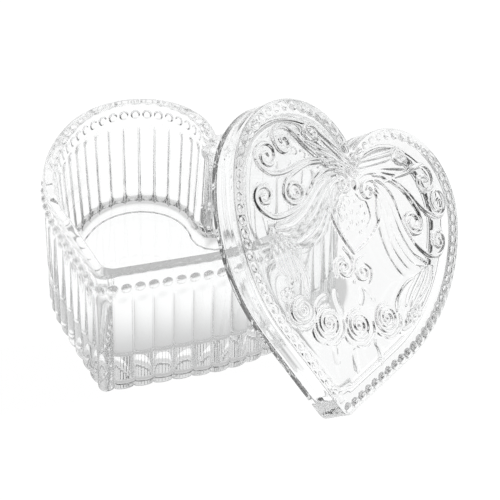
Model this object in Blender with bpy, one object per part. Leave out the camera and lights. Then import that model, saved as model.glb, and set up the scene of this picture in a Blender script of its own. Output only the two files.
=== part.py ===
"""Heart-shaped pressed-glass trinket box: a ribbed and beaded cup with a lift-off lid.

Run with: blender --background --python part.py
Units are metres and +Z is up. The cup stands on z = 0 with the heart's tip towards -Y and the
notch towards +Y. The lid is off: it stands on its tip and leans its open side over the rim of
the right-hand lobe.
"""

import math

import bmesh
import bpy
import numpy as np
from mathutils import Matrix, Vector

# Heart outline, measured at the rim.
WIDTH = 0.1150
LOBE_X = 0.0258
LOBE_RADIUS = WIDTH / 2 - LOBE_X
LOBE_STRETCH = 1.082
SIDE_RADIUS = 0.0734
SIDE_START = math.radians(1.8)
SIDE_END = math.radians(-49.6)
TIP_RADIUS = 0.0044
INNER_TIP_RADIUS = 0.0020
CAVITY_TIP_RADIUS = 0.0055
NOTCH_RADIUS = 0.0008

# Cup.
CUP_HEIGHT = 0.0571
RIM_THICKNESS = 0.0050
RIM_ROUNDING = 0.0009
WALL_FOOT_THICKNESS = 0.0080
FLOOR_THICKNESS = 0.0120
FLOOR_FILLET = 0.0040
TIP_COLUMN_HALF_WIDTH = 0.0054
RIBS_PER_SIDE = 24
RIB_DEPTH = 0.0015
RIB_TOP = 0.0472
RIB_DOME = 0.0038
FOOT_TAPER = 0.0005
FOOT_ROUNDING = 0.0022
CUP_BEADS_PER_SIDE = 36
CUP_BEAD_RADIUS = 0.0023
CUP_BEAD_HEIGHT = 0.0501
CUP_BEAD_SINK = 0.0013

# Lid, in its own frame: z = 0 is the skirt's lower edge and +z points out of the face.
LID_HEIGHT = 0.0134
LID_EDGE_ROUNDING = 0.0012
LIP_INSET = 0.0053
LIP_THICKNESS = 0.0018
LIP_DEPTH = 0.0006
CEILING = 0.0078
CEILING_INSET = 0.0088
LID_BEADS_PER_SIDE = 41
LID_BEAD_RADIUS = 0.00165
LID_BEAD_INSET = 0.0028
RELIEF_SINK = 0.0004
SHARP_ANGLE = math.radians(32)

# Lid at rest: where its frame's origin is, its x axis and its outward normal.
LID_ORIGIN = Vector((0.05714, -0.00023, 0.05205))
LID_X_AXIS = Vector((0.5719, 0.6592, -0.4883))
LID_NORMAL = Vector((0.7619, -0.2061, 0.6140))


def half_outline(inset, tip_radius=INNER_TIP_RADIUS):
    """The right half of the heart, from notch to tip, as matching points for any inset."""
    reach = LOBE_RADIUS + NOTCH_RADIUS
    notch_y = math.sqrt(reach**2 - LOBE_X**2)
    turn = np.linspace(-math.pi / 2, math.atan2(-notch_y, LOBE_X), 13)
    notch = np.c_[np.cos(turn), np.sin(turn)] * (NOTCH_RADIUS + inset) + (0, notch_y)
    turn = np.linspace(math.atan2(notch_y, -LOBE_X), SIDE_START, 121)[1:]
    lobe = np.c_[np.cos(turn), np.sin(turn)] * (LOBE_RADIUS - inset) + (LOBE_X, 0)
    start = np.array([math.cos(SIDE_START), math.sin(SIDE_START)])
    centre = np.array([LOBE_X, 0]) - (SIDE_RADIUS - LOBE_RADIUS) * start
    turn = np.linspace(SIDE_START, SIDE_END, 81)[1:]
    side = np.c_[np.cos(turn), np.sin(turn)] * (SIDE_RADIUS - inset) + centre
    normal = np.array([math.cos(SIDE_END), math.sin(SIDE_END)])
    radius = max(TIP_RADIUS - inset, tip_radius)
    tip_y = (centre @ normal + SIDE_RADIUS - inset - radius) / normal[1]
    corner = np.array([0, tip_y]) + radius * normal
    straight = side[-1] + np.linspace(0, 1, 61)[1:, None] * (corner - side[-1])
    turn = np.linspace(SIDE_END, -math.pi / 2, 21)[1:]
    tip = np.c_[np.cos(turn), np.sin(turn)] * radius + (0, tip_y)
    half = np.vstack([notch, lobe, side, straight, tip])
    half[:, 1] = np.where(half[:, 1] > 0, half[:, 1] * LOBE_STRETCH, half[:, 1])
    return half


def distances_from_tip(half):
    steps = np.linalg.norm(np.diff(half[::-1], axis=0), axis=1)
    return np.r_[0, np.cumsum(steps)]


def half_ring(inset, stations, reference, tip_radius):
    """Points of the inset outline that match stations measured from the tip along a reference."""
    along = distances_from_tip(half_outline(reference))
    half = half_outline(inset, tip_radius)[::-1]
    return np.c_[np.interp(stations, along, half[:, 0]), np.interp(stations, along, half[:, 1])]


def ring(inset, stations, reference=0.0, tip_radius=INNER_TIP_RADIUS):
    """The whole heart as a closed ring: tip, right side, notch, left side."""
    right = half_ring(inset, stations, reference, tip_radius)
    left = right[-2:0:-1] * (-1, 1)
    return np.vstack([right, left])


def mirrored(values):
    return np.r_[values, values[-2:0:-1]]


def outward(points):
    tangent = np.roll(points, -1, axis=0) - np.roll(points, 1, axis=0)
    tangent /= np.linalg.norm(tangent, axis=1)[:, None]
    return np.c_[tangent[:, 1], -tangent[:, 0]]


def rib_layout():
    """Stations along one side, four to each rib, with each station's place across its rib."""
    length = distances_from_tip(half_outline(0))[-1]
    pitch = (length - TIP_COLUMN_HALF_WIDTH) / RIBS_PER_SIDE
    column = np.array([0, 0.5, 1.0]) * TIP_COLUMN_HALF_WIDTH
    ribs = TIP_COLUMN_HALF_WIDTH + pitch * np.arange(1, 4 * RIBS_PER_SIDE + 1) / 4
    across = np.r_[0, 0.5, 1.0, np.tile([0.5, 0.0, 0.5, 1.0], RIBS_PER_SIDE)]
    return np.r_[column, ribs], across


def even_stations(inset, count):
    length = distances_from_tip(half_outline(inset))[-1]
    return np.linspace(0, length, count + 1)


def add_ring(bm, points, z):
    return [bm.verts.new((x, y, z)) for x, y in points]


def bridge(bm, lower, upper):
    """Faces between two rings of one count, or down from a ring to one of half its count."""
    count = len(lower)
    for i in range(count):
        j = (i + 1) % count
        if len(upper) == count:
            bm.faces.new((lower[i], lower[j], upper[j], upper[i]))
        elif i % 2 == 0:
            bm.faces.new((lower[i], lower[j], upper[i // 2]))
        else:
            near, far = upper[i // 2], upper[(i // 2 + 1) % len(upper)]
            bm.faces.new((lower[i], lower[j], far))
            bm.faces.new((lower[i], far, near))


def loft(bm, rings):
    for lower, upper in zip(rings, rings[1:]):
        bridge(bm, lower, upper)


def cap(bm, loop):
    """Closes a ring with matching chords across the heart, which is safe at the notch."""
    count = len(loop)
    for i in range(1, count // 2 - 1):
        bm.faces.new((loop[i], loop[i + 1], loop[-i - 1], loop[-i]))
    bm.faces.new((loop[0], loop[1], loop[-1]))
    middle = count // 2
    bm.faces.new((loop[middle - 1], loop[middle], loop[middle + 1]))


def glass(name, colour):
    material = bpy.data.materials.new(name)
    material.use_nodes = True
    shader = material.node_tree.nodes["Principled BSDF"]
    shader.inputs["Base Color"].default_value = colour
    shader.inputs["Roughness"].default_value = 0.04
    shader.inputs["Metallic"].default_value = 0.0
    shader.inputs["IOR"].default_value = 1.5
    shader.inputs["Transmission Weight"].default_value = 0.9
    return material


def mesh_object(name, bm, material=None):
    bmesh.ops.recalc_face_normals(bm, faces=bm.faces)
    mesh = bpy.data.meshes.new(name)
    bm.to_mesh(mesh)
    bm.free()
    if material:
        mesh.materials.append(material)
    obj = bpy.data.objects.new(name, mesh)
    bpy.context.scene.collection.objects.link(obj)
    return obj


def fuse(target, addition):
    """Joins a piece of the same moulding into the target and removes the helper object."""
    modifier = target.modifiers.new("fuse_" + addition.name, "BOOLEAN")
    modifier.operation = "UNION"
    modifier.solver = "EXACT"
    modifier.use_self = True
    modifier.object = addition
    graph = bpy.context.evaluated_depsgraph_get()
    fused = bpy.data.meshes.new_from_object(target.evaluated_get(graph))
    target.modifiers.clear()
    target.data = fused
    bpy.data.objects.remove(addition)


def dome(bm, centre, axis, radius, sides=8, levels=(0.0, 0.7)):
    """A closed bead that is round above its middle and a short cone below it."""
    turn = Vector((0, 0, 1)).rotation_difference(axis).to_matrix().to_4x4()
    place = Matrix.Translation(centre) @ turn
    loops = []
    for level in levels:
        reach = radius * math.cos(level * math.pi / 2)
        height = radius * math.sin(level * math.pi / 2)
        spin = [2 * math.pi * k / sides for k in range(sides)]
        corners = [Vector((reach * math.cos(a), reach * math.sin(a), height)) for a in spin]
        loops.append([bm.verts.new(place @ corner) for corner in corners])
    loft(bm, loops)
    top = bm.verts.new(place @ Vector((0, 0, radius)))
    base = bm.verts.new(place @ Vector((0, 0, -0.6 * radius)))
    for k in range(sides):
        bm.faces.new((loops[-1][k], loops[-1][(k + 1) % sides], top))
        bm.faces.new((loops[0][(k + 1) % sides], loops[0][k], base))


def rib_swell(across, z):
    """How far a rib stands out of its groove, from 0 to 1, with a rounded top end."""
    climb = max(0.0, (z - (RIB_TOP - RIB_DOME)) / RIB_DOME)
    return np.sqrt(np.clip(1 - across**2 - climb**2, 0, 1))


def cup_outer_rings(bm, stations, across):
    edge = ring(0, stations)
    normal = outward(edge)
    rings = []
    for degrees in (0, 30, 60, 90):
        turn = math.radians(degrees)
        z = FOOT_ROUNDING * (1 - math.cos(turn))
        inset = FOOT_TAPER + FOOT_ROUNDING * (1 - math.sin(turn))
        depth = inset + RIB_DEPTH * (1 - mirrored(rib_swell(across, z)))
        rings.append(add_ring(bm, edge - normal * depth[:, None], z))
    for climb in (0, 0.45, 0.75, 0.93):
        z = RIB_TOP - RIB_DOME * (1 - climb)
        depth = RIB_DEPTH * (1 - mirrored(rib_swell(across, z)))
        rings.append(add_ring(bm, edge - normal * depth[:, None], z))
    for z, inset in ((RIB_TOP, RIB_DEPTH), (RIB_TOP + 0.0012, 0.0008), (CUP_BEAD_HEIGHT + 0.0024, 0.0003)):
        rings.append(add_ring(bm, edge - normal * inset, z))
    rings.append(add_ring(bm, edge, CUP_HEIGHT - RIM_ROUNDING))
    rings.append(add_ring(bm, edge - normal * RIM_ROUNDING, CUP_HEIGHT))
    return rings


def cup_inner_rings(bm, stations):
    rim = ring(RIM_THICKNESS, stations, tip_radius=CAVITY_TIP_RADIUS)
    rings = [add_ring(bm, rim, CUP_HEIGHT)]
    fillet_z = FLOOR_THICKNESS + FLOOR_FILLET
    for degrees in (0, 35, 65, 90):
        turn = math.radians(degrees)
        inset = WALL_FOOT_THICKNESS + FLOOR_FILLET * (1 - math.cos(turn))
        z = fillet_z - FLOOR_FILLET * math.sin(turn)
        rings.append(add_ring(bm, ring(inset, stations, tip_radius=CAVITY_TIP_RADIUS), z))
    return rings


def cup_beads():
    bm = bmesh.new()
    stations = even_stations(0, CUP_BEADS_PER_SIDE)
    places = ring(0, stations)
    for spot, normal in zip(places, outward(ring(0, stations))):
        centre = Vector((*(spot - normal * CUP_BEAD_SINK), CUP_BEAD_HEIGHT))
        dome(bm, centre, Vector((*normal, 0)), CUP_BEAD_RADIUS)
    return mesh_object("cup_beads", bm)


def shade_round(obj):
    """Smooth shading that keeps the moulding's real edges crisp."""
    obj.data.shade_smooth()
    obj.data.set_sharp_from_angle(angle=SHARP_ANGLE)


def build_cup(material):
    bm = bmesh.new()
    stations, across = rib_layout()
    outer = cup_outer_rings(bm, stations, across)
    inner = cup_inner_rings(bm, stations[::2])
    loft(bm, outer + inner)
    cap(bm, outer[0])
    cap(bm, inner[-1])
    cup = mesh_object("cup", bm, material)
    fuse(cup, cup_beads())
    shade_round(cup)
    return cup


def lid_rings(bm, stations):
    """Rings from the middle of the face, down the skirt, round the lip and up to the ceiling."""
    edge = LID_EDGE_ROUNDING
    lip_out = LIP_INSET + 0.0003
    lip_in = LIP_INSET + LIP_THICKNESS
    profile = (
        (0.0060, LID_HEIGHT),
        (edge, LID_HEIGHT),
        (0.3 * edge, LID_HEIGHT - 0.3 * edge),
        (0.0, LID_HEIGHT - edge),
        (0.0, 0.0004),
        (0.0004, 0.0),
        (LIP_INSET, 0.0),
        (lip_out, -LIP_DEPTH),
        (lip_in - 0.0003, -LIP_DEPTH),
        (lip_in, 0.0),
        (CEILING_INSET - 0.0014, CEILING - 0.0020),
        (CEILING_INSET - 0.0004, CEILING - 0.0006),
        (CEILING_INSET + 0.0012, CEILING),
    )
    rings = []
    for inset, z in profile:
        inside = inset >= LIP_INSET and z <= CEILING
        tip_radius = CAVITY_TIP_RADIUS if inside else INNER_TIP_RADIUS
        rings.append(add_ring(bm, ring(inset, stations, tip_radius=tip_radius), z))
    return rings


def lid_beads():
    bm = bmesh.new()
    stations = even_stations(LID_BEAD_INSET, LID_BEADS_PER_SIDE)
    for spot in ring(LID_BEAD_INSET, stations, LID_BEAD_INSET):
        centre = Vector((*spot, LID_HEIGHT - 0.0002))
        dome(bm, centre, Vector((0, 0, 1)), LID_BEAD_RADIUS, 6)
    return mesh_object("lid_beads", bm)


def spiral(centre, radius, start, turns, steps):
    """Points that wind inwards from a start angle in degrees; negative turns go clockwise."""
    points = []
    for k in range(steps + 1):
        share = k / steps
        angle = math.radians(start) + 2 * math.pi * turns * share
        reach = radius * (1 - 0.72 * share)
        points.append((centre[0] + reach * math.cos(angle), centre[1] + reach * math.sin(angle)))
    return points


def arc_path(points, steps=4):
    """A smooth Catmull-Rom path through a few points."""
    knots = [Vector(p) for p in points]
    knots = [2 * knots[0] - knots[1]] + knots + [2 * knots[-1] - knots[-2]]
    path = []
    for a, b, c, d in zip(knots, knots[1:], knots[2:], knots[3:]):
        for k in range(steps):
            t = k / steps
            path.append(
                0.5 * (2 * b + (c - a) * t + (2 * a - 5 * b + 4 * c - d) * t * t
                       + (3 * b - a - 3 * c + d) * t**3)
            )
    return [(p.x, p.y) for p in path + [knots[-2]]]


def ridge(bm, path, width, height):
    """A moulded ridge along a path in millimetres on the face, tapering at both ends."""
    path = [Vector(p) * 0.001 for p in path]
    loops = []
    for k, spot in enumerate(path):
        ahead = path[min(k + 1, len(path) - 1)] - path[max(k - 1, 0)]
        side = Vector((-ahead.y, ahead.x)).normalized()
        share = min(1.0, 0.35 + 0.65 * min(k, len(path) - 1 - k) / 2)
        section = ((-0.5, -1), (0.5, -1), (0.42, 0.35), (0, 1), (-0.42, 0.35))
        loop = []
        for across, up in section:
            rise = height * 0.001 * share * up if up > 0 else -RELIEF_SINK
            flat = spot + side * (across * width * 0.001 * share)
            loop.append(bm.verts.new((flat.x, flat.y, LID_HEIGHT + rise)))
        loops.append(loop)
    for near, far in zip(loops, loops[1:]):
        for i in range(5):
            bm.faces.new((near[i], near[(i + 1) % 5], far[(i + 1) % 5], far[i]))
    bm.faces.new(loops[0][::-1])
    bm.faces.new(loops[-1])


def mirror_path(path):
    return [(-x, y) for x, y in path]


def relief_scrolls(bm):
    """Acanthus scrolls, the same on both halves of the lid."""
    scrolls = (
        arc_path([(21, 15), (28, 19), (34, 21.5)]) + spiral((36, 15), 5.6, 75, -1.3, 13),
        arc_path([(15, 14), (24, 11), (33, 4.5)]) + spiral((43.5, 8.5), 6.2, 245, 1.4, 14),
        spiral((30.5, -2.5), 5.0, 150, 1.4, 13),
        arc_path([(20, -2), (27, -10.5), (34, -14)]) + spiral((44.5, -8), 5.6, 240, 1.4, 13),
        spiral((23, 21), 3.4, 200, -1.2, 9),
    )
    for path in scrolls:
        ridge(bm, path, 1.5, 0.8)
        ridge(bm, mirror_path(path), 1.5, 0.8)


def relief_swags(bm):
    """Folds of the draped curtain that hangs from the knot on both sides."""
    for drop in (0, 1, 2):
        fold = [(8 + drop, 9 - 4.5 * drop), (19, 4 - 6 * drop), (30, -12 - 4 * drop),
                (40, -17 - 2.2 * drop)]
        path = arc_path(fold, 3)
        ridge(bm, path, 2.6, 1.0)
        ridge(bm, mirror_path(path), 2.6, 1.0)
    for side in (-1, 1):
        tail = [(39.5 * side, -24), (36 * side, -29), (30 * side, -36)]
        ridge(bm, arc_path(tail, 3), 3.0, 0.9)


def relief_bow(bm):
    """The knot, its two ribbon tails and the curls beside and below it."""
    ridge(bm, arc_path([(0.3, 15.5), (0.8, 11), (1.6, 7), (2.4, 4.5)], 3), 4.2, 1.5)
    for side in (-1, 1):
        ribbon = arc_path([(4.5 * side, 13.5), (11 * side, 17), (18 * side, 20)], 3)
        ridge(bm, ribbon, 3.2, 1.0)
        knot_curl = spiral((7.2 * side, 4.6), 3.6, 90 - 60 * side, 1.2 * side, 11)
        ridge(bm, knot_curl, 1.3, 0.8)
        low_curl = spiral((5.0 * side + 1, -26.8), 4.0, 90 + 90 * side, 1.25 * side, 11)
        ridge(bm, low_curl, 1.3, 0.8)


def relief_cartouche(bm):
    """A low pillow in the shape of a heart with a beaded crown, in the middle of the lid."""
    crown = [(1, 3.4), (4, 0.6), (8, 2.2), (12, 0.4), (14.2, -4.5), (12, -10), (7, -15.5), (1.2, -21)]
    outline = crown + [(2.2 - x, y) for x, y in crown[-2:0:-1]]
    loops = []
    for scale, z in ((1.0, -RELIEF_SINK), (1.0, 0.0004), (0.88, 0.0009), (0.5, 0.0012)):
        spots = [((1.1 + (x - 1.1) * scale), (-7 + (y + 7) * scale)) for x, y in outline]
        loops.append([bm.verts.new((x * 0.001, y * 0.001, LID_HEIGHT + z)) for x, y in spots])
    loft(bm, loops)
    bm.faces.new(loops[0][::-1])
    bm.faces.new(loops[-1])


def relief_roses(bm):
    """Open roses as coiled petals round a button, with leaves above and below."""
    for x, y, size in ((-9.2, -48.5, 6.2), (4.8, -47.5, 6.4), (19.2, -41.8, 5.8), (-23.5, -43.5, 5)):
        ridge(bm, spiral((x, y), size, 90, 1.9, 19), 1.6, 1.2)
    leaves = (((-7, -37), (-6, -43)), ((6, -31), (5, -39)), ((3.5, -58), (3.5, -64)),
              ((12, -53), (17, -59)), ((28, -37), (33, -35)), ((-13, -56), (-9, -62)))
    for (x0, y0), (x1, y1) in leaves:
        middle = ((x0 + x1) / 2 + 0.8, (y0 + y1) / 2)
        ridge(bm, arc_path([(x0, y0), middle, (x1, y1)], 2), 3.2, 0.9)


def lid_relief():
    bm = bmesh.new()
    relief_scrolls(bm)
    relief_swags(bm)
    relief_bow(bm)
    relief_cartouche(bm)
    relief_roses(bm)
    return mesh_object("lid_relief", bm)


def lid_placement():
    """The lid's frame at rest, squared up from its x axis and its outward normal."""
    normal = LID_NORMAL.normalized()
    x_axis = (LID_X_AXIS - LID_X_AXIS.dot(normal) * normal).normalized()
    turn = Matrix((x_axis, normal.cross(x_axis), normal)).transposed().to_4x4()
    return Matrix.Translation(LID_ORIGIN) @ turn


def build_lid(material):
    bm = bmesh.new()
    rings = lid_rings(bm, even_stations(0, 49))
    loft(bm, rings)
    cap(bm, rings[0])
    cap(bm, rings[-1])
    lid = mesh_object("lid", bm, material)
    fuse(lid, lid_beads())
    fuse(lid, lid_relief())
    shade_round(lid)
    lid.matrix_world = lid_placement()
    return lid


def main():
    for obj in list(bpy.data.objects):
        bpy.data.objects.remove(obj)
    build_cup(glass("cup_glass", (0.93, 0.95, 0.95, 1.0)))
    build_lid(glass("lid_glass", (0.94, 0.95, 0.96, 1.0)))


main()
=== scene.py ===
import math

import bpy
import numpy as np
from mathutils import Matrix, Vector, geometry


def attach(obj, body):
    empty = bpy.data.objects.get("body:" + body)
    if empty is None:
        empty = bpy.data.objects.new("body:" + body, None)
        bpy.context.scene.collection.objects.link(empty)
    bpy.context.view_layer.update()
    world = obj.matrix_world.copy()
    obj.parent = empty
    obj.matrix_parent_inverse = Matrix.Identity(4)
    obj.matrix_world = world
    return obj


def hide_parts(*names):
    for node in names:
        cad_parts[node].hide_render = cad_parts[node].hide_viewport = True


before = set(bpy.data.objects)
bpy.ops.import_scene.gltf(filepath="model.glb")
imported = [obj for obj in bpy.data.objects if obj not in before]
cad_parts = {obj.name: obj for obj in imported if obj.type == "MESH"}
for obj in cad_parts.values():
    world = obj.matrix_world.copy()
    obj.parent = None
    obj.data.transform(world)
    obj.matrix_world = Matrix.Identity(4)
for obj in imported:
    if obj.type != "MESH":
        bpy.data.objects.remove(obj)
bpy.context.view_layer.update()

MM = 0.001

# Heart outline in millimetres, measured at the rim.
WIDTH = 115.0
LOBE_X = 25.8
LOBE_RADIUS = WIDTH / 2 - LOBE_X
LOBE_STRETCH = 1.082
SIDE_RADIUS = 73.4
SIDE_START = math.radians(1.8)
SIDE_END = math.radians(-49.6)
TIP_RADIUS = 4.4
INNER_TIP_RADIUS = 2.0
CAVITY_TIP_RADIUS = 5.5
NOTCH_RADIUS = 0.8

# Cup.
CUP_HEIGHT = 57.1
RIM_THICKNESS = 5.0
RIM_ROUNDING = 1.3
WALL_FOOT_THICKNESS = 8.0
FLOOR_THICKNESS = 12.0
FLOOR_FILLET = 4.0
FOOT_RING_WIDTH = 9.3
FOOT_RECESS = 1.2
TIP_COLUMN_HALF_WIDTH = 5.4
RIBS_PER_SIDE = 24
SAMPLES_PER_RIB = 24
RIB_DEPTH = 1.5
RIB_TOP = 47.2
RIB_DOME = 4.6
RIB_FULLNESS = 1.9
COLLAR_INSET = 0.55
COLLAR_UPPER_INSET = 0.3
COLLAR_UPPER_RISE = 2.4
COLLAR_LAST_ROW = 54.4
FOOT_TAPER = 0.5
FOOT_ROUNDING = 2.2
CUP_BEADS_PER_SIDE = 36
CUP_BEAD_RADIUS = 2.3
CUP_BEAD_HEIGHT = 50.1
CUP_BEAD_SINK = 1.3
CUP_BEAD_MARGIN = 0.2

# Lid, in its own frame: z = 0 is the skirt's lower edge and +z points out of the face.
LID_HEIGHT = 13.4
LID_EDGE_ROUNDING = 0.9
SKIRT_TOP = LID_HEIGHT - 1.3
SKIRT_LOW = 0.8
SKIRT_ROWS = 25
SKIRT_RIPPLE = 0.025
SKIRT_RIPPLE_PITCH = (SKIRT_TOP - SKIRT_LOW) / 4
SKIRT_FOOT_ROUNDING = 0.6
LIP_INSET = 5.3
LIP_THICKNESS = 1.8
LIP_DEPTH = 0.6
CEILING = 7.8
HOLLOW_DRAFT = 0.25
HOLLOW_FILLET = 2.0
HOLLOW_FILLET_REACH = 2.1
LID_BEADS_PER_SIDE = 41
LID_BEAD_RADIUS = 1.65
LID_BEAD_INSET = 2.8
LID_BEAD_RISE = 0.6
LID_STATIONS = 240
FACE_DOME = 1.6
FACE_DOME_REACH = 9.0
DOME_EDGE_INSET = LID_BEAD_INSET + 1.8
FACE_STEP = 0.31
PLAIN_STEP = 0.9
RELIEF_SOFTNESS = 1.1
TAPER_SHARE = 0.16
FAR_OFF = 9.0

# Lid at rest: where its frame's origin is, its x axis and its outward normal.
LID_ORIGIN = Vector((57.14, -0.23, 52.05))
LID_X_AXIS = Vector((0.5719, 0.6592, -0.4883))
LID_NORMAL = Vector((0.7619, -0.2061, 0.6140))

# Relief on the lid's right half in millimetres, from the scrolls to the crown's drops; it is mirrored
# on the left.
SCROLL_UP = [(13, 9), (20, 13), (26, 16), (31, 19.2), (35.5, 21.3), (39.3, 20.2), (40.9, 16.5),
             (39.3, 12.6), (36, 11.2), (33.6, 13.2), (34, 15.8), (36.3, 17), (37.8, 15.7), (36.8, 14.8)]
SCROLL_SIDE = [(9, 11.5), (15, 12.2), (21, 11.4), (27, 8.8), (33, 4.8), (38, 2.4), (43, 1.6), (47, 4),
               (48.4, 8), (46.8, 11.6), (43.6, 12.9), (40.8, 11), (40.3, 7.5), (42.3, 4.8), (45.2, 5.2),
               (46, 7.8), (44.3, 9.4), (43, 8.2)]
SCROLL_INNER = [(18, 11), (24, 9), (29, 5.6), (33, 2), (35, -2), (34.6, -5.8), (31, -7.6), (27.3, -6),
                (26, -2.8), (27.8, -0.2), (31, 0.2), (33, -2), (32.4, -4.8), (29.8, -5.4),
                (28.2, -3.6), (29.4, -2)]
SCROLL_LOW = [(5.5, 9), (10.5, 10), (15, 8.5), (19.5, 4.8), (22.5, -1), (25.8, -6), (30, -10.2),
              (35, -13.3), (40, -14.8), (45, -13.2), (47.8, -9.6), (47.4, -5.6), (44.3, -3.9),
              (41.6, -6), (42.4, -9.4), (45, -10.2), (46.2, -8.2), (44.6, -7)]
RIBBON_CURL = [(2, 15.5), (8, 18), (14, 20.6), (18.5, 22.7), (21.5, 24.8), (24.8, 24), (25.4, 21.4),
               (22.8, 19.4), (20.3, 20.6), (20.9, 22.6), (22.6, 22)]
KNOT_CURL = [(11, 8.6), (7, 9.2), (3.8, 7.2), (3.3, 4.2), (5.5, 2), (8, 3), (8.3, 5.6), (6.4, 6.4), (5.6, 5)]
LOW_CURL = [(5.8, -20.3), (1.6, -23.5), (0.8, -27.5), (3, -30.6), (6.2, -30), (7, -27.3), (5, -25.8),
            (3.6, -27.2), (4.6, -28.4)]
LOW_CURL_BACK = [(5.2, -23.8), (8.6, -25.4), (9.2, -29), (7.9, -32)]
FOLDS = (
    [(10, 8), (14.5, 6), (19, 1.5), (22.5, -4), (26, -9.5), (31, -14.5), (38, -18)],
    [(10.5, 6.5), (14.5, 2.5), (18, -3), (21, -9), (25.5, -14.5), (31, -18.5), (38, -20)],
    [(10.5, 4.5), (13.5, 0), (16, -6), (19, -12), (24, -17.5), (30, -21.6), (36.5, -21.5)],
    [(11, 2), (12.6, -3), (14, -8), (16.5, -14), (21, -20), (27, -24), (34, -22.5)],
)
TAILS = (
    [(36, -20), (33, -25.5), (30, -31), (27.5, -37)],
    [(38, -19.5), (35.8, -25.5), (32.8, -31.5), (30, -36.5)],
    [(40.3, -19.5), (39.2, -25.5), (36, -31.5), (32.6, -35.8)],
    [(31, -25.5), (26.5, -30), (23.4, -35), (22.6, -40)],
)
RIBBONS = (
    ([(2, 13.2), (8, 15.8), (13, 18), (18, 20.2)], 1.8, 1.2),
    ([(2.5, 11), (8, 13.6), (14, 15.4), (20, 16.8), (25.6, 17.6)], 1.8, 1.1),
    ([(6, 11.6), (12, 13.6), (18, 14.2), (23, 14.6), (26.4, 16.4), (29, 19.6)], 1.7, 1.1),
    ([(1.6, 8.6), (4.4, 11.2), (8.6, 12.6), (13, 12.4), (17.5, 10.8)], 1.8, 1.3),
)
CARTOUCHE = [(9, 5.5), (12.3, 2.5), (13.4, -2.5), (11.8, -8), (9, -12.5), (4.5, -17.3), (0, -21.3)]
CROWN = [(0, 2.8), (2.8, 0.9), (5.6, 0.5), (7.2, -2), (8.2, -5.4), (7.2, -8), (6.4, -10)]
CROWN_DROPS = ((0.0, -0.6), (3.4, -1.8), (5.6, -4.2), (1.7, -5.2), (4.4, -7.6), (1.6, -9.4), (3.2, -12.2))

# Flowers below the heart, which differ from side to side: roses as x, y and size, leaves as a path
# and its width, and blossoms as x and y.
ROSES = ((-12.0, -50.2, 6.4), (3.0, -48.6, 6.6), (17.3, -43.4, 6.0), (-24.6, -47.0, 5.0))
LEAVES = (
    ([(3.2, -33.6), (4.4, -37), (3.6, -41)], 3.0),
    ([(5.6, -34.2), (8.8, -35.4), (10.8, -38.4)], 2.6),
    ([(-9.4, -36.8), (-8.2, -41), (-5.0, -46)], 3.0),
    ([(-13.4, -39.6), (-16.6, -41.8), (-18.6, -45)], 2.4),
    ([(1.4, -57.6), (1.8, -62), (3.3, -67)], 3.6),
    ([(11.4, -52.8), (14.4, -56.6), (16.2, -61.6)], 3.4),
    ([(-8.6, -58), (-8.2, -61.6), (-6.2, -65)], 3.0),
    ([(23.6, -47.6), (27.4, -46.8), (31.4, -43.6)], 2.6),
)
BLOSSOMS = ((31.2, -40.6), (34.2, -37.6), (-31.6, -42.6))

# Camera, in metres and degrees; its lens is in millimetres.
CAMERA_AT = (0.261855, -0.564535, 0.487853)
CAMERA_TURN = (52.624, -1.342, 23.822)
CAMERA_LENS = 137.8
CAMERA_SENSOR = 36.0

# Glass.
GLASS_TINT = (0.995, 0.998, 0.998)
GLASS_IOR = 1.5
GLASS_HAZE = 0.003
CLOUD_SCALE = 60.0
BUMP_STRENGTH = 0.08
BUMP_DISTANCE = 0.2 * MM

# Table, which glows: level 1 is white, which is what the camera always sees. Seen through the glass or by
# reflection its glow is painted light: a painted pool of light that fades out between two distances from the
# middle, and a painted bright stretch behind the cup.
TABLE_REACH = 6.0
TABLE_DROP = 0.5 * MM
TABLE_LEVEL = 1.06
TABLE_FADE = (0.25, 0.45)
TABLE_BACK = 0.9
TABLE_BACK_BLEND = 0.05
BACK_AZIMUTH = 112.6

# Painted shadow of the cup's near wall on the table inside the cup's near side, measured outwards from the
# origin along that side's normal: it deepens over SHADE_DEPTH, is full from SHADE_FULL and ends across
# SHADE_EDGE.
# Towards the lobe it ends at SHADE_END.
FRONT_REACH = 64.1 * MM
SHADE_DEPTH = 44.0 * MM
SHADE_FULL = 14.0 * MM
SHADE_EDGE = (-3.0 * MM, 1.0 * MM)
SHADE_LEVEL = 0.5
SHADE_END = 12.0 * MM
SHADE_END_BLEND = 25.0 * MM

# Painted shadow on the table along the two lobes, against the lobes' radius.
LOBE_SHADE = 0.66
LOBE_SHADE_STARTS = (-5.5 * MM, -1.5 * MM)
LOBE_SHADE_ENDS = (1.0 * MM, 6.0 * MM)
LOBE_FRONT_BLEND = 4.0 * MM

# Soft lights: azimuth from +X and elevation in degrees, and brightness where white is 1.
ROOM_LEVEL = 0.02
LIGHT_SPREAD = 48.0
SOFT_LIGHTS = ((172.6, 10.0, 0.8), (232.6, 10.0, 0.5), (112.6, 48.0, 0.75), (-67.4, 60.0, 0.05))


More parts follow.
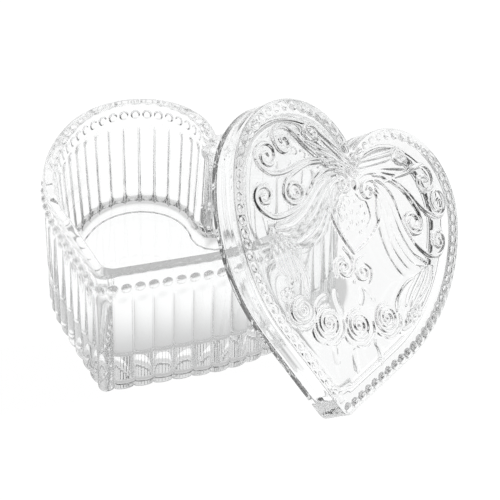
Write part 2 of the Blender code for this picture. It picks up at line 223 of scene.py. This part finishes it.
def half_outline(inset, tip_radius=INNER_TIP_RADIUS):
    """The right half of the heart, from notch to tip, as matching points for any inset."""
    reach = LOBE_RADIUS + NOTCH_RADIUS
    notch_y = math.sqrt(reach**2 - LOBE_X**2)
    turn = np.linspace(-math.pi / 2, math.atan2(-notch_y, LOBE_X), 25)
    notch = np.c_[np.cos(turn), np.sin(turn)] * (NOTCH_RADIUS + inset) + (0, notch_y)
    turn = np.linspace(math.atan2(notch_y, -LOBE_X), SIDE_START, 241)[1:]
    lobe = np.c_[np.cos(turn), np.sin(turn)] * (LOBE_RADIUS - inset) + (LOBE_X, 0)
    start = np.array([math.cos(SIDE_START), math.sin(SIDE_START)])
    centre = np.array([LOBE_X, 0]) - (SIDE_RADIUS - LOBE_RADIUS) * start
    turn = np.linspace(SIDE_START, SIDE_END, 161)[1:]
    side = np.c_[np.cos(turn), np.sin(turn)] * (SIDE_RADIUS - inset) + centre
    normal = np.array([math.cos(SIDE_END), math.sin(SIDE_END)])
    radius = max(TIP_RADIUS - inset, tip_radius)
    tip_y = (centre @ normal + SIDE_RADIUS - inset - radius) / normal[1]
    corner = np.array([0, tip_y]) + radius * normal
    straight = side[-1] + np.linspace(0, 1, 61)[1:, None] * (corner - side[-1])
    turn = np.linspace(SIDE_END, -math.pi / 2, 41)[1:]
    tip = np.c_[np.cos(turn), np.sin(turn)] * radius + (0, tip_y)
    half = np.vstack([notch, lobe, side, straight, tip])
    half[:, 1] = np.where(half[:, 1] > 0, half[:, 1] * LOBE_STRETCH, half[:, 1])
    return half


def distances_from_tip(half):
    steps = np.linalg.norm(np.diff(half[::-1], axis=0), axis=1)
    return np.r_[0, np.cumsum(steps)]


def ring(inset, stations, reference=0.0, tip_radius=INNER_TIP_RADIUS):
    """The whole heart as a closed ring: tip, right side, notch, left side."""
    along = distances_from_tip(half_outline(reference))
    half = half_outline(inset, tip_radius)[::-1]
    right = np.c_[np.interp(stations, along, half[:, 0]), np.interp(stations, along, half[:, 1])]
    left = right[-2:0:-1] * (-1, 1)
    return np.vstack([right, left])


def mirrored(values):
    return np.r_[values, values[-2:0:-1]]


def outward(points):
    tangent = np.roll(points, -1, axis=0) - np.roll(points, 1, axis=0)
    tangent /= np.linalg.norm(tangent, axis=1)[:, None]
    return np.c_[tangent[:, 1], -tangent[:, 0]]


def even_stations(inset, count):
    return np.linspace(0, distances_from_tip(half_outline(inset))[-1], count + 1)


class Shell:
    """Collects rings and patches of one closed surface, in millimetres."""

    def __init__(self):
        self.points = []
        self.faces = []
        self.count = 0

    def add(self, flat, z):
        z = np.broadcast_to(z, len(flat))
        self.points.append(np.c_[flat, z])
        first = self.count
        self.count += len(flat)
        return np.arange(first, self.count)

    def bridge(self, lower, upper):
        """Joins two rings, the second with as many points or with every other one."""
        count = len(lower)
        if len(upper) == count:
            for i in range(count):
                j = (i + 1) % count
                self.faces.append((lower[i], lower[j], upper[j], upper[i]))
            return
        half = len(upper)
        for k in range(half):
            a, b, c = lower[2 * k], lower[2 * k + 1], lower[(2 * k + 2) % count]
            near, far = upper[k], upper[(k + 1) % half]
            self.faces.extend(((a, b, near), (b, far, near), (b, c, far)))

    def loft(self, rings):
        """Skins rings that run up the outside, over the top and down the inside."""
        for lower, upper in zip(rings, rings[1:]):
            self.bridge(lower, upper)

    def loft_down(self, rings):
        """Skins rings that run down the outside and up the inside."""
        for upper, lower in zip(rings, rings[1:]):
            self.bridge(lower, upper)

    def patch(self, loop, flat, inner, inner_z, up):
        """Fills a flat or relief surface inside a ring that is already there."""
        found = geometry.delaunay_2d_cdt(
            [Vector(p) for p in np.vstack([flat, inner])], [], [list(range(len(flat)))], 1, 1e-6)
        source = [orig[0] for orig in found[3]]
        known = np.r_[loop, self.add(inner, inner_z)] if len(inner) else np.array(loop)
        for a, b, c in found[2]:
            a, b, c = known[source[a]], known[source[b]], known[source[c]]
            self.faces.append((a, b, c) if up else (c, b, a))

    def cap(self, loop, up):
        """Closes a level ring with a flat face."""
        self.patch(loop, np.vstack(self.points)[loop][:, :2], np.empty((0, 2)), 0, up)

    def build(self, name, place):
        mesh = bpy.data.meshes.new(name)
        points = np.vstack(self.points) * MM
        faces = [tuple(int(i) for i in face) for face in self.faces]
        mesh.from_pydata(points.tolist(), [], faces)
        mesh.transform(place)
        mesh.validate()
        mesh.shade_smooth()
        obj = bpy.data.objects.new(name, mesh)
        bpy.context.scene.collection.objects.link(obj)
        return obj


def rib_layout():
    """Fine stations along one side, with each one's place across its rib: 0 middle, 1 groove."""
    length = distances_from_tip(half_outline(0))[-1]
    pitch = (length - TIP_COLUMN_HALF_WIDTH) / RIBS_PER_SIDE
    column = np.linspace(0, 1, 11)[:-1]
    steps = np.arange(SAMPLES_PER_RIB * RIBS_PER_SIDE + 1) / SAMPLES_PER_RIB
    ribs = TIP_COLUMN_HALF_WIDTH + pitch * steps
    across = np.abs(2 * (steps % 1.0) - 1)
    return np.r_[column * TIP_COLUMN_HALF_WIDTH, ribs], np.r_[column, across]


def rib_inset(across, z):
    """How far the ribbed wall lies inside the outline; the grooves run out into the collar."""
    groove = RIB_DEPTH * (1 - np.clip(1 - across**RIB_FULLNESS, 0, 1) ** 0.5)
    climb = min(max((z - (RIB_TOP - RIB_DOME)) / RIB_DOME, 0.0), 1.0)
    blend = climb * climb * (3 - 2 * climb)
    return groove * (1 - blend) + COLLAR_INSET * blend


def collar_inset(z):
    heights = (RIB_TOP, CUP_BEAD_HEIGHT + COLLAR_UPPER_RISE, CUP_HEIGHT)
    return np.interp(z, heights, (COLLAR_INSET, COLLAR_UPPER_INSET, 0))


def foot_ring_rows():
    """Inset and height from the recess, over its softened step and out across the foot ring."""
    rows = ((1.5, FOOT_RECESS), (1.0, FOOT_RECESS), (0.8, FOOT_RECESS - 0.05), (0.6, FOOT_RECESS - 0.2),
            (0.4, 0.2), (0.2, 0.05), (0.0, 0.0), (-0.4, 0.0), (-4.0, 0.0))
    return [(FOOT_RING_WIDTH + inset, z) for inset, z in rows]


def cup_rows():
    """Heights of the rings round the foot, and of those up the ribs and the collar."""
    foot = [FOOT_ROUNDING * (1 - math.cos(t)) for t in np.linspace(0, math.pi / 2, 9)]
    shaft = list(np.linspace(FOOT_ROUNDING, RIB_TOP - RIB_DOME, 8))[1:-1]
    crown = list(np.linspace(RIB_TOP - RIB_DOME, RIB_TOP, 14))
    low = CUP_BEAD_HEIGHT - CUP_BEAD_RADIUS - CUP_BEAD_MARGIN
    high = CUP_BEAD_HEIGHT + CUP_BEAD_RADIUS + CUP_BEAD_MARGIN
    collar = list(np.linspace(low, high, 18)) + [COLLAR_LAST_ROW]
    return foot, shaft + crown + collar


def cup_outer(shell, stations, across):
    """Rings from the recess underneath, over the foot and up the ribs, beads and collar."""
    edge = ring(0, stations)
    normal = outward(edge)
    along = np.r_[stations, -stations[-2:0:-1]]
    bead_stations = even_stations(0, CUP_BEADS_PER_SIDE)
    spacing = bead_stations[1]
    off = (along + spacing / 2) % spacing - spacing / 2
    foot, wall = cup_rows()
    rings = [shell.add(ring(inset, stations), z) for inset, z in foot_ring_rows()]
    for z in foot + wall:
        share = min(1.0, z / (RIB_TOP - RIB_DOME))
        taper = FOOT_TAPER * (1 - share)
        if z < FOOT_ROUNDING:
            taper += FOOT_ROUNDING - math.sqrt(FOOT_ROUNDING**2 - (FOOT_ROUNDING - z) ** 2)
        depth = mirrored(rib_inset(across, z)) + taper
        if z > RIB_TOP - 0.01:
            depth = np.full(len(edge), float(collar_inset(z)))
        bead = CUP_BEAD_RADIUS**2 - off**2 - (z - CUP_BEAD_HEIGHT) ** 2
        beaded = np.minimum(depth, CUP_BEAD_SINK - np.sqrt(np.maximum(bead, 0)))
        depth = np.where(bead > 0, beaded, depth)
        rings.append(shell.add(edge - normal * depth[:, None], z))
    return rings


def cup_rim(shell, stations):
    """Rings over the rounded rim, from the outer wall to the inner one."""
    rings = []
    for t in np.linspace(0, math.pi / 2, 6):
        inset = RIM_ROUNDING * (1 - math.cos(t))
        rings.append(shell.add(ring(inset, stations), CUP_HEIGHT - RIM_ROUNDING * (1 - math.sin(t))))
    for t in np.linspace(math.pi / 2, 0, 6):
        inset = RIM_THICKNESS - RIM_ROUNDING * (1 - math.cos(t))
        flat = ring(inset, stations, tip_radius=CAVITY_TIP_RADIUS)
        rings.append(shell.add(flat, CUP_HEIGHT - RIM_ROUNDING * (1 - math.sin(t))))
    return rings


def cup_inner(shell, stations):
    """Rings down the cavity's wall and round the fillet to the floor."""
    rings = []
    top = CUP_HEIGHT - RIM_ROUNDING
    low = FLOOR_THICKNESS + FLOOR_FILLET
    for share in (0.12, 0.35, 0.6, 0.85):
        inset = RIM_THICKNESS + (WALL_FOOT_THICKNESS - RIM_THICKNESS) * share
        flat = ring(inset, stations, tip_radius=CAVITY_TIP_RADIUS)
        rings.append(shell.add(flat, top + (low - top) * share))
    for turn in np.linspace(0, math.pi / 2, 10):
        inset = WALL_FOOT_THICKNESS + FLOOR_FILLET * (1 - math.cos(turn))
        z = low - FLOOR_FILLET * math.sin(turn)
        rings.append(shell.add(ring(inset, stations, tip_radius=CAVITY_TIP_RADIUS), z))
    return rings


def make_cup():
    shell = Shell()
    stations, across = rib_layout()
    outer = cup_outer(shell, stations, across)
    rim = cup_rim(shell, stations)
    inner = cup_inner(shell, stations[::2])
    shell.loft(outer + rim + inner)
    for loop, up in ((outer[0], False), (inner[-1], True)):
        shell.cap(loop, up)
    return shell.build("cup_glassware", Matrix.Identity(4))


def spiral(centre, radius, start, turns, steps, tight):
    """Points that wind inwards from a start angle in degrees; negative turns go clockwise."""
    share = np.linspace(0, 1, steps + 1)
    angle = math.radians(start) + 2 * math.pi * turns * share
    reach = radius * (1 - tight * share)
    return np.c_[centre[0] + reach * np.cos(angle), centre[1] + reach * np.sin(angle)]


def smooth_path(points, steps=8):
    """A smooth Catmull-Rom path through a few points."""
    knots = np.array(points, float)
    knots = np.vstack([2 * knots[0] - knots[1], knots, 2 * knots[-1] - knots[-2]])
    path = []
    for a, b, c, d in zip(knots, knots[1:], knots[2:], knots[3:]):
        for t in np.arange(steps) / steps:
            path.append(0.5 * (2 * b + (c - a) * t + (2 * a - 5 * b + 4 * c - d) * t * t
                               + (3 * b - a - 3 * c + d) * t**3))
    return np.array(path + [knots[-2]])


class Relief:
    """Moulded ridges and pillows on the lid's face, read back as a height in millimetres."""

    def __init__(self):
        self.strokes = []
        self.pillows = []

    def stroke(self, path, width, height, both=False, taper=0.35):
        path = np.array(path, float)
        self.strokes.append((path, width / 2, height, taper))
        if both:
            self.strokes.append((path * (-1, 1), width / 2, height, taper))

    def pillow(self, centre, size, height, both=False):
        self.pillows.append((np.array(centre, float), size, height))
        if both:
            self.pillows.append((np.array(centre, float) * (-1, 1), size, height))

    def clearance(self, spots):
        """Distance in millimetres from each spot to the nearest raised edge, below 0 on the relief."""
        return self.read(spots)[1]

    def height(self, spots):
        return self.read(spots)[0]

    def read(self, spots):
        """Height and clearance of each spot."""
        rise = np.zeros(len(spots))
        clear = np.full(len(spots), FAR_OFF)
        for path, half, height, taper in self.strokes:
            low, high = path.min(0) - half - 1, path.max(0) + half + 1
            near = np.flatnonzero(((spots > low) & (spots < high)).all(1))
            if not len(near):
                continue
            here = spots[near]
            best = np.full(len(near), FAR_OFF)
            gap_mm = np.full(len(near), FAR_OFF)
            count = len(path) - 1
            for k in range(count):
                a, b = path[k], path[k + 1]
                step = b - a
                t = np.clip(((here - a) @ step) / max(step @ step, 1e-9), 0, 1)
                along = (k + t) / count
                from_end = np.minimum(along, 1 - along)
                end = np.minimum(1, taper + (1 - taper) * from_end / TAPER_SHARE)
                gap = np.linalg.norm(here - a - t[:, None] * step, axis=1)
                gap_mm = np.minimum(gap_mm, gap - half * end)
                best = np.minimum(best, gap / (half * end))
            swell = height * np.clip(1 - best**2, 0, 1) ** RELIEF_SOFTNESS
            rise[near] = np.maximum(rise[near], swell)
            clear[near] = np.minimum(clear[near], gap_mm)
        for centre, (rx, ry, tilt), height in self.pillows:
            off = spots - centre
            c, s = math.cos(math.radians(tilt)), math.sin(math.radians(tilt))
            gap = np.hypot((off @ (c, s)) / rx, (off @ (-s, c)) / ry)
            rise = np.maximum(rise, height * np.clip(1 - gap**2, 0, 1) ** RELIEF_SOFTNESS)
            clear = np.minimum(clear, (gap - 1) * min(rx, ry))
        return rise, clear


def rose(relief, x, y, size):
    """Petals that coil round a button, with wide outer petals below."""
    relief.stroke(spiral((x, y), size, 90, 2.6, 90, 0.8), 1.9, 1.0)
    relief.pillow((x, y), (0.9, 0.9, 0), 1.7)
    for start in (200, 262, 318):
        turn = np.radians(np.linspace(start, start + 62, 12))
        bulge = size + 1.1 + 0.7 * np.sin(np.linspace(0, math.pi, 12))
        relief.stroke(np.c_[x + bulge * np.cos(turn), y + bulge * np.sin(turn)], 1.6, 0.8)


def design_relief():
    relief = Relief()
    for path in (SCROLL_UP, SCROLL_SIDE, SCROLL_INNER, SCROLL_LOW):
        relief.stroke(smooth_path(path), 2.0, 1.2, True, 0.5)
    relief.stroke(smooth_path(RIBBON_CURL), 1.9, 1.3, True)
    relief.stroke(smooth_path(KNOT_CURL), 1.6, 1.3, True)
    relief.stroke(smooth_path(LOW_CURL), 1.35, 1.0, True)
    relief.stroke(smooth_path(LOW_CURL_BACK), 1.2, 0.8, True)
    for path in FOLDS:
        relief.stroke(smooth_path(path), 4.2, 0.8, True, 0.25)
    for path in TAILS:
        relief.stroke(smooth_path(path), 2.7, 0.8, True)
    for path, width, height in RIBBONS:
        relief.stroke(smooth_path(path), width, 0.8 * height, True)
    relief.stroke(smooth_path(CARTOUCHE), 1.5, 1.0, True, 0.6)
    relief.stroke(smooth_path(CROWN), 0.8, 0.6, True, 0.8)
    for x, y in CROWN_DROPS:
        relief.pillow((x, y), (0.85, 1.3, 0), 0.5, x > 0)
    relief.pillow((0.2, 6.6), (2.2, 3.3, 0), 1.7)
    for lean in (-1, 0, 1):
        plume = [(0.5 * lean, 8), (1.6 * lean, 11), (1.2 * lean, 14), (2.2 * lean, 17)]
        relief.stroke(smooth_path(plume), 1.6, 1.7)
    relief.pillow((0.2, -32.2), (0.7, 0.9, 0), 0.8)
    for path, width in LEAVES:
        relief.stroke(smooth_path(path), width, 0.6, False, 0.12)
    for x, y, size in ROSES:
        rose(relief, x, y, size)
    for x, y in BLOSSOMS:
        for k in range(5):
            turn = math.radians(72 * k + 20)
            petal = (x + 1.7 * math.cos(turn), y + 1.7 * math.sin(turn))
            relief.pillow(petal, (1.15, 1.15, 0), 0.7)
    return relief


def lid_profile():
    """Inset and height down the skirt, round the lip and up to the ceiling."""
    edge, foot = LID_EDGE_ROUNDING, SKIRT_FOOT_ROUNDING
    rows = []
    for t in np.linspace(math.pi / 2, 0, 7)[1:]:
        rows.append((edge * (1 - math.cos(t)), LID_HEIGHT - edge * (1 - math.sin(t))))
    for z in np.linspace(SKIRT_TOP, SKIRT_LOW, SKIRT_ROWS):
        wave = 2 * math.pi * (z - SKIRT_LOW) / SKIRT_RIPPLE_PITCH
        rows.append((SKIRT_RIPPLE * (1 - math.cos(wave)), z))
    for t in np.linspace(0, math.pi / 2, 6)[1:]:
        rows.append((foot * (1 - math.cos(t)), foot * (1 - math.sin(t))))
    lip_out, lip_in = LIP_INSET, LIP_INSET + LIP_THICKNESS
    rows += [(lip_out - 0.3, 0), (lip_out, -0.1), (lip_out + 0.12, -0.35), (lip_out + 0.35, -0.53)]
    rows += [(lip_out + 0.7, -LIP_DEPTH), (lip_in - 0.7, -LIP_DEPTH)]
    rows += [(lip_in - 0.35, -0.53), (lip_in - 0.1, -0.3), (lip_in, 0.2)]
    turn_in, turn_up = lip_in + HOLLOW_DRAFT, CEILING - HOLLOW_FILLET
    rows += [(lip_in + 0.05, 2.0), (lip_in + 0.15, 4.0), (turn_in, turn_up)]
    for t in np.linspace(0, math.pi / 2, 7)[1:]:
        inset = turn_in + HOLLOW_FILLET_REACH * (1 - math.cos(t))
        rows.append((inset, turn_up + HOLLOW_FILLET * math.sin(t)))
    return rows


def bead_spots():
    return ring(LID_BEAD_INSET, even_stations(LID_BEAD_INSET, LID_BEADS_PER_SIDE), LID_BEAD_INSET)


def inside_heart(spots, inset):
    edge = ring(inset, even_stations(inset, 400), inset)
    x, y = spots[:, :1], spots[:, 1:]
    ax, ay = edge[:, 0], edge[:, 1]
    bx, by = np.roll(ax, -1), np.roll(ay, -1)
    crossing = ((ay > y) != (by > y)) & (x < (bx - ax) * (y - ay) / (by - ay + 1e-12) + ax)
    return crossing.sum(1) % 2 == 1


def hex_grid(step, inset):
    """Staggered points that fill the heart's face up to an inset from its edge."""
    xs = np.arange(-60, 60, step)
    ys = np.arange(-90, 40, step * 0.866)
    x, y = np.meshgrid(xs, ys)
    x[1::2] += step / 2
    spots = np.c_[x.ravel(), y.ravel()]
    return spots[inside_heart(spots, inset)]


def away_from(spots, beads, distance):
    keep = np.ones(len(spots), bool)
    for bead in beads:
        keep &= ((spots - bead) ** 2).sum(1) > distance**2
    return spots[keep]


def bead_points(beads):
    """Points in circles over each bead, with its middle first and a last circle just outside it."""
    angles = np.arange(14) * 2 * math.pi / 14
    spots = [beads]
    for k, share in enumerate((0.3, 0.55, 0.75, 0.9, 0.985, 1.12)):
        turn = angles + (k % 2) * math.pi / 14
        circle = np.c_[np.cos(turn), np.sin(turn)] * share * LID_BEAD_RADIUS
        spots.extend(bead + circle for bead in beads)
    return np.vstack(spots)


def face_points(relief, beads):
    """Closely spaced points on the relief and beads, and wider ones where the face is plain."""
    fine = hex_grid(FACE_STEP, 5.0)
    coarse = away_from(hex_grid(PLAIN_STEP, 1.5), beads, LID_BEAD_RADIUS * 1.3)
    raised = relief.clearance(fine) < 0.35
    plain = relief.clearance(coarse) > 0.6
    return np.vstack([fine[raised], coarse[plain], bead_points(beads)])


def dome_height(spots):
    """The face swells a little inside the beads, more the further it is from them."""
    edge = ring(DOME_EDGE_INSET, even_stations(0, 300))
    gap = np.full(len(spots), 99.0)
    for spot in edge:
        gap = np.minimum(gap, np.hypot(*(spots - spot).T))
    inside = inside_heart(spots, DOME_EDGE_INSET)
    share = np.clip(gap / FACE_DOME_REACH, 0, 1) * inside
    return FACE_DOME * share * share * (3 - 2 * share)


def face_height(spots, relief, beads):
    rise = relief.height(spots) + dome_height(spots)
    for bead in beads:
        gap = ((spots - bead) ** 2).sum(1)
        near = gap < LID_BEAD_RADIUS**2
        swell = LID_BEAD_RISE * np.sqrt(LID_BEAD_RADIUS**2 - gap[near])
        rise[near] = np.maximum(rise[near], swell)
    return LID_HEIGHT + rise


def lid_placement():
    """The lid's frame at rest, squared up from its x axis and its outward normal."""
    normal = LID_NORMAL.normalized()
    x_axis = (LID_X_AXIS - LID_X_AXIS.dot(normal) * normal).normalized()
    turn = Matrix((x_axis, normal.cross(x_axis), normal)).transposed().to_4x4()
    return Matrix.Translation(LID_ORIGIN * MM) @ turn


def make_lid():
    shell = Shell()
    stations = even_stations(0, LID_STATIONS)
    top = ring(LID_EDGE_ROUNDING, stations)
    first = shell.add(top, LID_HEIGHT)
    rings = [first]
    for inset, z in lid_profile():
        tip_radius = CAVITY_TIP_RADIUS if inset > LIP_INSET - 0.5 else INNER_TIP_RADIUS
        rings.append(shell.add(ring(inset, stations, tip_radius=tip_radius), z))
    shell.loft_down(rings)
    relief, beads = design_relief(), bead_spots()
    spots = face_points(relief, beads)
    shell.patch(first, top, spots, face_height(spots, relief, beads), True)
    shell.cap(rings[-1], False)
    return shell.build("lid_glassware", lid_placement())


def node(tree, kind, **inputs):
    """A new node with some of its inputs set; an underscore in a name stands for a space."""
    made = tree.nodes.new(kind)
    for name, value in inputs.items():
        made.inputs[name.replace("_", " ")].default_value = value
    return made


def glass_material(name, ripple):
    """Clear glass with a faint cloud in its tint and haze and a slow ripple in its surface."""
    material = bpy.data.materials.new(name)
    material.use_nodes = True
    tree = material.node_tree
    shader = tree.nodes["Principled BSDF"]
    shader.inputs["IOR"].default_value = GLASS_IOR
    shader.inputs["Transmission Weight"].default_value = 1.0
    place = node(tree, "ShaderNodeTexCoord")
    cloud = node(tree, "ShaderNodeTexNoise", Scale=CLOUD_SCALE, Detail=3.0)
    tree.links.new(place.outputs["Object"], cloud.inputs["Vector"])
    shade = node(tree, "ShaderNodeValToRGB")
    red, green, blue = GLASS_TINT
    shade.color_ramp.elements[0].color = (red - 0.012, green - 0.01, blue - 0.01, 1)
    shade.color_ramp.elements[1].color = (red, green, blue, 1)
    tree.links.new(cloud.outputs["Fac"], shade.inputs["Fac"])
    tree.links.new(shade.outputs["Color"], shader.inputs["Base Color"])
    haze = node(tree, "ShaderNodeMapRange", To_Min=0.0, To_Max=GLASS_HAZE)
    tree.links.new(cloud.outputs["Fac"], haze.inputs["Value"])
    tree.links.new(haze.outputs["Result"], shader.inputs["Roughness"])
    wave = node(tree, "ShaderNodeTexNoise", Scale=ripple, Detail=0.0)
    tree.links.new(place.outputs["Object"], wave.inputs["Vector"])
    bump = node(tree, "ShaderNodeBump", Strength=BUMP_STRENGTH, Distance=BUMP_DISTANCE)
    tree.links.new(wave.outputs["Fac"], bump.inputs["Height"])
    tree.links.new(bump.outputs["Normal"], shader.inputs["Normal"])
    return material


def direction_to(azimuth, elevation):
    a, e = math.radians(azimuth), math.radians(elevation)
    return (math.cos(a) * math.cos(e), math.sin(a) * math.cos(e), math.sin(e))


def eased(tree, value, low, high, start, end):
    """Goes smoothly from start to end as the value goes from low to high."""
    ease = tree.nodes.new("ShaderNodeMapRange")
    ease.interpolation_type = "SMOOTHSTEP"
    for name, number in (("From Min", low), ("From Max", high), ("To Min", start), ("To Max", end)):
        ease.inputs[name].default_value = number
    tree.links.new(value, ease.inputs["Value"])
    return ease.outputs["Result"]


def arithmetic(tree, operation, first, second):
    made = tree.nodes.new("ShaderNodeMath")
    made.operation = operation
    for socket, value in zip(made.inputs, (first, second)):
        if isinstance(value, float):
            socket.default_value = value
        else:
            tree.links.new(value, socket)
    return made.outputs["Value"]


def vector_step(tree, operation, vector, second=(0, 0, 0)):
    made = tree.nodes.new("ShaderNodeVectorMath")
    made.operation = operation
    made.inputs[1].default_value = second
    tree.links.new(vector, made.inputs[0])
    return made.outputs["Value" if operation in ("LENGTH", "DOT_PRODUCT") else "Vector"]


def painted_front_shadow(tree, place):
    """Painted shadow on the table, darkest just inside the cup's near side and gone a few centimetres
    further in.
    """
    normal = (math.cos(SIDE_END), math.sin(SIDE_END), 0)
    tangent = (-math.sin(SIDE_END), math.cos(SIDE_END), 0)
    outwards = vector_step(tree, "DOT_PRODUCT", place, normal)
    starts = (FRONT_REACH - SHADE_DEPTH, FRONT_REACH - SHADE_FULL)
    ends = (FRONT_REACH + SHADE_EDGE[0], FRONT_REACH + SHADE_EDGE[1])
    inside = eased(tree, outwards, *starts, 1.0, SHADE_LEVEL)
    outside = eased(tree, outwards, *ends, 0.0, 1.0)
    along = vector_step(tree, "DOT_PRODUCT", place, tangent)
    past = eased(tree, along, SHADE_END, SHADE_END + SHADE_END_BLEND, 0.0, 1.0)
    return arithmetic(tree, "MAXIMUM", arithmetic(tree, "MAXIMUM", inside, outside), past)


def painted_lobe_shadow(tree, place):
    """A soft band of painted shadow on the table under the foot of the two lobes."""
    folded = vector_step(tree, "ABSOLUTE", place)
    offset = vector_step(tree, "SUBTRACT", folded, (LOBE_X * MM, 0, 0))
    round_lobe = vector_step(tree, "MULTIPLY", offset, (1, 1 / LOBE_STRETCH, 0))
    reach = vector_step(tree, "LENGTH", round_lobe)
    starts = [LOBE_RADIUS * MM + edge for edge in LOBE_SHADE_STARTS]
    ends = [LOBE_RADIUS * MM + edge for edge in LOBE_SHADE_ENDS]
    inner = eased(tree, reach, *starts, 1.0, LOBE_SHADE)
    outer = eased(tree, reach, *ends, 0.0, 1.0)
    back = vector_step(tree, "DOT_PRODUCT", place, (0, 1, 0))
    front = eased(tree, back, -LOBE_FRONT_BLEND, LOBE_FRONT_BLEND, 1.0, 0.0)
    return arithmetic(tree, "MAXIMUM", arithmetic(tree, "MAXIMUM", inner, outer), front)


def floor_material():
    """A table that glows: plain white to the camera; for the rays that reach it by the glass, a painted pool
    of light with the cup's painted shadows on it.
    """
    material = bpy.data.materials.new("pale_floor")
    material.use_nodes = True
    tree = material.node_tree
    tree.nodes.remove(tree.nodes["Principled BSDF"])
    glow = tree.nodes.new("ShaderNodeEmission")
    tree.links.new(glow.outputs["Emission"], tree.nodes["Material Output"].inputs["Surface"])
    place = tree.nodes.new("ShaderNodeNewGeometry").outputs["Position"]
    # Painted pool of light round the middle and a painted bright stretch behind the cup.
    near = eased(tree, vector_step(tree, "LENGTH", place), *TABLE_FADE, TABLE_LEVEL, 0.0)
    back = vector_step(tree, "DOT_PRODUCT", place, direction_to(BACK_AZIMUTH, 0))
    behind = eased(tree, back, -TABLE_BACK_BLEND, TABLE_BACK_BLEND, 0.0, TABLE_BACK)
    level = arithmetic(tree, "MAXIMUM", near, behind)
    # Painted shadows of the cup's walls on the table.
    level = arithmetic(tree, "MULTIPLY", level, painted_front_shadow(tree, place))
    level = arithmetic(tree, "MULTIPLY", level, painted_lobe_shadow(tree, place))
    sight = tree.nodes.new("ShaderNodeLightPath").outputs["Is Camera Ray"]
    tree.links.new(arithmetic(tree, "MAXIMUM", level, sight), glow.inputs["Strength"])
    return material


def make_floor():
    mesh = bpy.data.meshes.new("studio_floor")
    signs = ((-1, -1), (1, -1), (1, 1), (-1, 1))
    corners = [(x * TABLE_REACH, y * TABLE_REACH, -TABLE_DROP) for x, y in signs]
    mesh.from_pydata(corners, [], [(0, 1, 2, 3)])
    mesh.materials.append(floor_material())
    floor = bpy.data.objects.new("studio_floor", mesh)
    bpy.context.scene.collection.objects.link(floor)


def make_studio():
    """A dim room with a few large soft lights; the camera sees its backdrop as white as the table."""
    world = bpy.data.worlds.new("studio")
    bpy.context.scene.world = world
    world.use_nodes = True
    tree = world.node_tree
    direction = tree.nodes.new("ShaderNodeTexCoord").outputs["Generated"]
    level = ROOM_LEVEL
    edge = math.cos(math.radians(LIGHT_SPREAD))
    for azimuth, elevation, brightness in SOFT_LIGHTS:
        toward = vector_step(tree, "DOT_PRODUCT", direction, direction_to(azimuth, elevation))
        glow = eased(tree, toward, edge, 1.0, 0.0, brightness)
        level = arithmetic(tree, "ADD", glow, level)
    sight = tree.nodes.new("ShaderNodeLightPath").outputs["Is Camera Ray"]
    level = arithmetic(tree, "MAXIMUM", level, sight)
    tree.nodes["Background"].inputs["Color"].default_value = (1, 1, 1, 1)
    tree.links.new(level, tree.nodes["Background"].inputs["Strength"])


def make_camera():
    data = bpy.data.cameras.new("camera")
    data.lens = CAMERA_LENS
    data.sensor_width = CAMERA_SENSOR
    data.clip_start = 0.01
    camera = bpy.data.objects.new("camera", data)
    camera.location = CAMERA_AT
    camera.rotation_euler = [math.radians(a) for a in CAMERA_TURN]
    bpy.context.scene.collection.objects.link(camera)
    bpy.context.scene.camera = camera


scene = bpy.context.scene
scene.view_settings.view_transform = "Standard"
scene.cycles.max_bounces = 32
scene.cycles.glossy_bounces = 32
scene.cycles.transmission_bounces = 32
make_studio()
make_floor()
make_camera()

cup = make_cup()
cup.data.materials.append(glass_material("cup_glass_look", 70.0))
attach(cup, "cup")
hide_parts("cup")

lid = make_lid()
lid.data.materials.append(glass_material("lid_glass_look", 90.0))
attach(lid, "lid")
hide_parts("lid")
